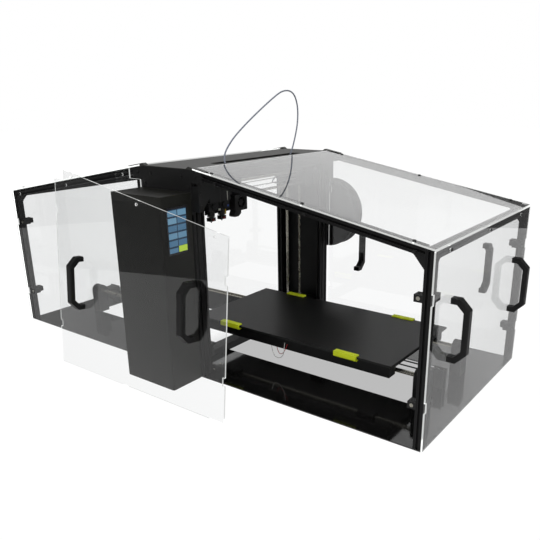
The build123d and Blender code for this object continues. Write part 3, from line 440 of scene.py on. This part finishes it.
def screenFinish(look):
    # rows of blue tiles from a brick pattern over the glass, a lime button low on the right, dark surround
    material, tree, bsdf = startMaterial("screenGlass")
    split = tree.nodes.new("ShaderNodeSeparateXYZ")
    tree.links.new(objectPlace(tree), split.inputs[0])
    lowCorner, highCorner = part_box("touchscreen")
    across = shareOf(tree, split.outputs["X"], lowCorner[0], highCorner[0])
    upward = shareOf(tree, split.outputs["Z"], lowCorner[2], highCorner[2])
    join = tree.nodes.new("ShaderNodeCombineXYZ")
    tree.links.new(across, join.inputs["X"])
    tree.links.new(upward, join.inputs["Y"])
    tiles = tree.nodes.new("ShaderNodeTexBrick")
    tiles.offset = 0.0
    tree.links.new(join.outputs[0], tiles.inputs["Vector"])
    for label, value in look["tiles"].items():
        tiles.inputs[label].default_value = value
    low = mathNode(tree, "LESS_THAN", upward, look["buttonTop"])
    right = mathNode(tree, "GREATER_THAN", across, look["buttonLeft"])
    picture = colourMix(tree, mathNode(tree, "MULTIPLY", low, right), tiles.outputs["Color"], look["button"])
    inside = nearMiddle(tree, across, look["litHalfWidth"])
    level = nearMiddle(tree, upward, look["litHalfHeight"])
    picture = colourMix(tree, mathNode(tree, "MULTIPLY", inside, level), look["surround"], picture)
    smear = placeGroup(tree, grainGroup, Scale=look["smearScale"])
    bsdf.inputs["Base Color"].default_value = look["glass"]
    tree.links.new(rangeNode(tree, smear.outputs["Cloud"], *look["rough"]), bsdf.inputs["Roughness"])
    tree.links.new(picture, bsdf.inputs["Emission Color"])
    bsdf.inputs["Emission Strength"].default_value = 1.0
    return material


roofRise, roofRun = 0.1165, 0.648
leanOut, leanRise = 0.05365, 0.540
roofTurn = math.atan2(roofRise, roofRun)
leanTurn = math.atan2(leanOut, leanRise)
sheets = {
    "front_roof": clearAcrylic("acrylicFrontRoof", (0, -math.sin(roofTurn), math.cos(roofTurn))),
    "rear_roof": clearAcrylic("acrylicRearRoof", (0, math.sin(roofTurn), math.cos(roofTurn))),
    "front_left_panel": clearAcrylic("acrylicLeaning", (math.cos(leanTurn), 0, -math.sin(leanTurn))),
}
sheets["front_right_panel"] = sheets["rear_side_panels"] = clearAcrylic("acrylicSide", (1, 0, 0))
sheets["front_end_panel"] = sheets["rear_end_panel"] = clearAcrylic("acrylicEnd", (0, 1, 0))
tubePlastic = solidFinish("tubePlastic", {
    "dark": (0.24, 0.26, 0.32), "light": (0.34, 0.37, 0.45), "edge": (0.5, 0.52, 0.58),
    "grainScale": 300.0, "rough": (0.25, 0.4), "wearAndHighlight": 0.1, "depth": 0.00001, "dust": 0.02})
boardMask = solidFinish("boardMask", {
    "dark": (0.004, 0.03, 0.012), "light": (0.008, 0.05, 0.02), "edge": (0.2, 0.2, 0.12),
    "grainScale": 700.0, "rough": (0.25, 0.4), "wearAndHighlight": 0.2, "depth": 0.00003})
braid = solidFinish("braidedSleeve", {
    "dark": (0.006, 0.006, 0.006), "light": (0.02, 0.02, 0.02), "edge": (0.06, 0.06, 0.06),
    "grainScale": 1500.0, "stretch": (1, 1, 0.4), "rough": (0.6, 0.85), "wearAndHighlight": 0.2, "depth": 0.0003})
sootyAluminium = solidFinish("sootyAluminium", {
    "dark": (0.03, 0.03, 0.03), "light": (0.09, 0.088, 0.082), "edge": (0.35, 0.35, 0.34),
    "grainScale": 500.0, "rough": (0.35, 0.55), "metallic": 0.8, "wearAndHighlight": 0.6, "depth": 0.00002})
powderCover = solidFinish("powderCover", {
    "dark": (0.05, 0.05, 0.046), "light": (0.068, 0.068, 0.063), "edge": (0.2, 0.2, 0.19),
    "grainScale": 520.0, "rough": (0.38, 0.52), "wearAndHighlight": 0.4, "depth": 0.00003, "dust": 0.08})
leadWhite = solidFinish("leadWhite", {
    "dark": (0.62, 0.62, 0.6), "light": (0.78, 0.78, 0.76), "edge": (0.85, 0.85, 0.84),
    "grainScale": 900.0, "rough": (0.3, 0.45), "wearAndHighlight": 0.1, "depth": 0.00001})
leadRed = solidFinish("leadRed", {
    "dark": (0.4, 0.015, 0.02), "light": (0.55, 0.025, 0.03), "edge": (0.7, 0.2, 0.2),
    "grainScale": 900.0, "rough": (0.3, 0.45), "wearAndHighlight": 0.1, "depth": 0.00001})
screenGlass = screenFinish(screenLook)

finishBySlot = {
    "black_aluminium": blackFrame, "black_gloss": glossBase, "clear_sheet": sheets["rear_end_panel"],
    "black_plastic": printedBlack, "black_steel": powderBlack, "charcoal_steel": powderCharcoal,
    "steel": groundSteel, "aluminium": machinedAluminium, "chartreuse": chartreusePrint,
    "belt_rubber": rubberBlack, "screen": screenGlass, "board": boardMask, "tube": tubePlastic,
    "filament_grey": spoolBlack, "bed_black": bedBlack, "sleeve": braid,
}
finishByNode = {
    "hot_ends": sootyAluminium, "gantry_cover": powderCover, "spool": spoolBlack,
    "front_end_handles": mouldedBlack, "front_left_handles": mouldedBlack,
    "front_right_handles": mouldedBlack, "power_inlet": mouldedBlack, "power_switch": mouldedBlack, **sheets,
}


def finishNode(name, material):
    data = nodes[name].data
    data.materials.clear()
    data.materials.append(material)


for entry in frame["record"]["subparts"]:
    finishNode(entry["node"], finishByNode.get(entry["node"], finishBySlot[entry["material_slot"]]))
tubePiece.data.materials.append(tubePlastic)
leadPieces["white_lead"].data.materials.append(leadWhite)
leadPieces["red_lead"].data.materials.append(leadRed)
print("materials placed")


# pieces: threads, plugs, screws

def ringFaces(rows, columns, copies=1):
    # quads between neighbouring rings and a cap on the first and last, for each copy
    index = np.arange(rows * columns).reshape(rows, columns)
    across = np.roll(index, -1, axis=1)
    quads = np.stack([index[:-1], across[:-1], across[1:], index[1:]], axis=-1).reshape(1, -1, 4)
    caps = np.stack([index[0][::-1], index[-1]])[None]
    step = rows * columns * np.arange(copies)[:, None, None]
    return (quads + step).reshape(-1, 4).tolist() + (caps + step).reshape(-1, columns).tolist()


def riding(name, vertices, faces, body, material):
    mesh = bpy.data.meshes.new(name)
    mesh.from_pydata(vertices, [], faces)
    mesh.materials.append(material)
    piece = bpy.data.objects.new(name, mesh)
    scene.collection.objects.link(piece)
    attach(piece, body)
    return piece


pinRadius = 0.0002      # a point at a turned solid's axis, wide enough to leave a closed ring
leadThread = {"radius": 0.004, "depth": 0.0009, "lead": 0.008, "starts": 4, "steepness": 1.6, "flat": 0.3,
              "step": 0.0005, "columns": 28}


def leadScrew(body, look):
    # r = radius - depth * (1 - wave), wave a 0 to 1 trapezoid of the phase starts * (z / lead - angle / turn)
    low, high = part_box(body)
    z = np.arange(low[2], high[2], look["step"])[:, None]
    angle = np.linspace(0, 2 * np.pi, look["columns"], endpoint=False)[None, :]
    phase = look["starts"] * (z / look["lead"] - angle / (2 * np.pi))
    wave = np.clip(look["steepness"] * np.abs(2 * (phase % 1.0) - 1) - look["flat"], 0, 1)
    radius = look["radius"] - look["depth"] * (1 - wave)
    radius[[0, -1]] = pinRadius
    surface = np.stack([(low[0] + high[0]) / 2 + radius * np.cos(angle),
                        (low[1] + high[1]) / 2 + radius * np.sin(angle),
                        np.broadcast_to(z, radius.shape)], axis=-1)
    faces = ringFaces(*surface.shape[:2])
    piece = riding(f"{body}_thread", surface.reshape(-1, 3), faces, body, groundSteel)
    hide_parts(body)


leadScrew("lead_screw_left", leadThread)
leadScrew("lead_screw_right", leadThread)
print("threads cut")


def lathePieces(name, centres, axis, profile):
    # profile is (radius, distance along the axis); one turned steel solid on the frame at each centre
    columns = 24
    axis = np.array(axis, float)
    first = np.cross(axis, (0.3, 0.5, 0.81))
    first /= np.linalg.norm(first)
    second = np.cross(axis, first)
    angle = np.linspace(0, 2 * np.pi, columns, endpoint=False)
    ring = np.cos(angle)[:, None] * first + np.sin(angle)[:, None] * second
    radius, along = np.array(profile, float).T
    solid = radius[:, None, None] * ring[None] + along[:, None, None] * axis
    vertices = np.concatenate([solid.reshape(-1, 3) + np.array(centre) for centre in centres])
    riding(name, vertices, ringFaces(len(profile), columns, len(centres)), "frame", groundSteel)


baseScrews = {
    "profile": [(pinRadius, 0.0), (0.0036, 0.0), (0.0042, 0.0006), (0.0042, 0.003), (0.0037, 0.0036),
                (0.0021, 0.0036), (0.0019, 0.0015), (pinRadius, 0.0012)],
    "places": ((0.2, 0.035), (0.27, -0.055), (0.235, -0.08), (0.274, -0.09)),     # on the right, mirrored
    "seat": 0.0028,
}
screwCentres = [(x * side, y, baseScrews["seat"]) for side in (-1, 1) for x, y in baseScrews["places"]]
lathePieces("base_screws", screwCentres, (0, 0, 1), baseScrews["profile"])

catchMagnets = {
    "profile": [(pinRadius, -0.0028), (0.0047, -0.0028), (0.0047, -0.0004), (pinRadius, -0.0004)],
    "out": 0.328, "along": 0.755, "levels": (0.112, 0.3675),
}
for label, side in (("left", -1), ("right", 1)):
    magnetCentres = [(catchMagnets["out"] * side, catchMagnets["along"] * end, level)
                     for end in (-1, 1) for level in catchMagnets["levels"]]
    lathePieces(f"{label}_magnets", magnetCentres, (side, 0, 0), catchMagnets["profile"])

plugs = {
    "blue": {"colour": (0.02, 0.09, 0.42), "blocks": [
        ((-0.206, -0.1065, 0.4865), (-0.198, -0.1040, 0.4905))]},
    "yellow": {"colour": (0.62, 0.42, 0.03), "blocks": [
        ((-0.2125, -0.1070, 0.4660), (-0.2105, -0.1040, 0.4800))]},
    "red": {"colour": (0.2, 0.02, 0.02), "blocks": [
        ((-0.2165, -0.1030, 0.4530), (-0.2095, -0.1000, 0.4585)),
        ((-0.2595, -0.1030, 0.4530), (-0.2555, -0.1000, 0.4585))]},
    "pale": {"colour": (0.55, 0.55, 0.5), "blocks": [
        ((-0.2395, -0.1070, 0.4795), (-0.2325, -0.1040, 0.4845)),
        ((-0.2085, -0.1126, 0.5050), (-0.2072, -0.1105, 0.5300))]},
}


def plugPiece(label, plug):
    # one block between each pair of low and high corners: low + corner * (high - low)
    corners = np.array([(x, y, z) for x in (0, 1) for y in (0, 1) for z in (0, 1)])
    quads = np.array([(0, 1, 3, 2), (4, 6, 7, 5), (0, 4, 5, 1), (2, 3, 7, 6), (0, 2, 6, 4), (1, 5, 7, 3)])
    vertices = np.concatenate([low + corners * np.subtract(high, low) for low, high in plug["blocks"]])
    faces = np.concatenate([quads + len(corners) * count for count in range(len(plug["blocks"]))])
    material = solidFinish(f"{label}Plug", {
        "dark": tuple(0.85 * part for part in plug["colour"]), "light": plug["colour"],
        "edge": tuple(min(1, part + 0.2) for part in plug["colour"]),
        "grainScale": 900.0, "rough": (0.3, 0.45), "wearAndHighlight": 0.2, "depth": 0.00002})
    riding(f"{label}_plugs", vertices, faces.tolist(), "tool_head", material)


for label, plug in plugs.items():
    plugPiece(label, plug)
print("plugs and screws placed")


# studio

def raySeen(tree, path):
    # 1 where a surface is looked at directly or straight through sheets
    straight = mathNode(tree, "MULTIPLY", mathNode(tree, "LESS_THAN", path.outputs["Glossy Depth"], 0.5),
                        mathNode(tree, "LESS_THAN", path.outputs["Diffuse Depth"], 0.5))
    through = mathNode(tree, "MULTIPLY", path.outputs["Is Transmission Ray"], straight)
    return mathNode(tree, "MAXIMUM", path.outputs["Is Camera Ray"], through)


def studioWorld():
    # white looked at directly or through the sheets, dim in reflections, middling for diffuse light
    reflected = 0.13
    extraForDiffuse = 0.45
    world = bpy.data.worlds.new("studio")
    world.use_nodes = True
    tree = world.node_tree
    background = tree.nodes["Background"]
    path = tree.nodes.new("ShaderNodeLightPath")
    seen = raySeen(tree, path)
    diffused = mathNode(tree, "GREATER_THAN", path.outputs["Diffuse Depth"], 0.5)
    shone = mathNode(tree, "MULTIPLY", diffused, extraForDiffuse)
    level = mathNode(tree, "ADD", mathNode(tree, "MAXIMUM", seen, shone), reflected)
    background.inputs["Color"].default_value = (1.0, 1.0, 1.0, 1.0)
    tree.links.new(mathNode(tree, "MINIMUM", level, 1.0), background.inputs["Strength"])
    scene.world = world


paper = {
    "side": 14.0, "nearRadius": 2.7, "nearGlow": 0.42, "farGlow": 0.08,
    "shadeHalfWidth": 0.3, "shadeRear": 0.12, "shadeFront": -0.78, "shadeFade": 5.0, "shadeDepth": 0.66,
}


def studioFloor():
    # a white sheet of paper, shaded under the front half; in reflections it is brighter near the object
    side = paper["side"]
    mesh = bpy.data.meshes.new("studioFloor")
    corners = [(-side, -side, 0), (side, -side, 0), (side, side, 0), (-side, side, 0)]
    mesh.from_pydata(corners, [], [(0, 1, 2, 3)])
    floor = bpy.data.objects.new("studioFloor", mesh)
    scene.collection.objects.link(floor)
    material, tree, bsdf = startMaterial("studioPaper")
    seen = raySeen(tree, tree.nodes.new("ShaderNodeLightPath"))
    away = tree.nodes.new("ShaderNodeVectorMath")
    away.operation = "LENGTH"
    tree.links.new(objectPlace(tree), away.inputs[0])
    near = mathNode(tree, "LESS_THAN", away.outputs["Value"], paper["nearRadius"])
    other = mathNode(tree, "ADD", mathNode(tree, "MULTIPLY", near, paper["nearGlow"]), paper["farGlow"])
    split = tree.nodes.new("ShaderNodeSeparateXYZ")
    tree.links.new(objectPlace(tree), split.inputs[0])
    sideways = mathNode(tree, "ABSOLUTE", split.outputs["X"])
    under = mathNode(tree, "LESS_THAN", sideways, paper["shadeHalfWidth"])
    behind = mathNode(tree, "SUBTRACT", paper["shadeRear"], split.outputs["Y"])
    front = mathNode(tree, "MULTIPLY", behind, paper["shadeFade"], clamp=True)
    ahead = mathNode(tree, "GREATER_THAN", split.outputs["Y"], paper["shadeFront"])
    shade = mathNode(tree, "MULTIPLY", mathNode(tree, "MULTIPLY", under, ahead), front)
    lit = mathNode(tree, "SUBTRACT", 1.0, mathNode(tree, "MULTIPLY", shade, paper["shadeDepth"]))
    looked = mathNode(tree, "MULTIPLY", seen, lit)
    tree.links.new(mathNode(tree, "MAXIMUM", looked, other), bsdf.inputs["Emission Strength"])
    bsdf.inputs["Emission Color"].default_value = (1.0, 1.0, 1.0, 1.0)
    bsdf.inputs["Base Color"].default_value = (0.02, 0.02, 0.02, 1.0)
    bsdf.inputs["Roughness"].default_value = 1.0
    bsdf.inputs["Specular IOR Level"].default_value = 0.0
    mesh.materials.append(material)


def softbox(name, place, aim, size, power):
    data = bpy.data.lights.new(name, "AREA")
    data.shape = "RECTANGLE"
    data.size, data.size_y = size
    data.energy = power
    lamp = bpy.data.objects.new(name, data)
    scene.collection.objects.link(lamp)
    lamp.location = place
    lamp.rotation_euler = (Vector(aim) - Vector(place)).to_track_quat("-Z", "Y").to_euler()


softboxes = {
    "roofBox": {"place": (2.95, 1.45, 2.9), "aim": (0, 0, 0.5), "size": (4.6, 3.2), "power": 38.0},
    "keyBox": {"place": (-1.6, -1.9, 2.9), "aim": (0, 0, 0.2), "size": (1.6, 1.6), "power": 26.0},
}
studioWorld()
studioFloor()
for name, box in softboxes.items():
    softbox(name, **box)
print("studio lit")
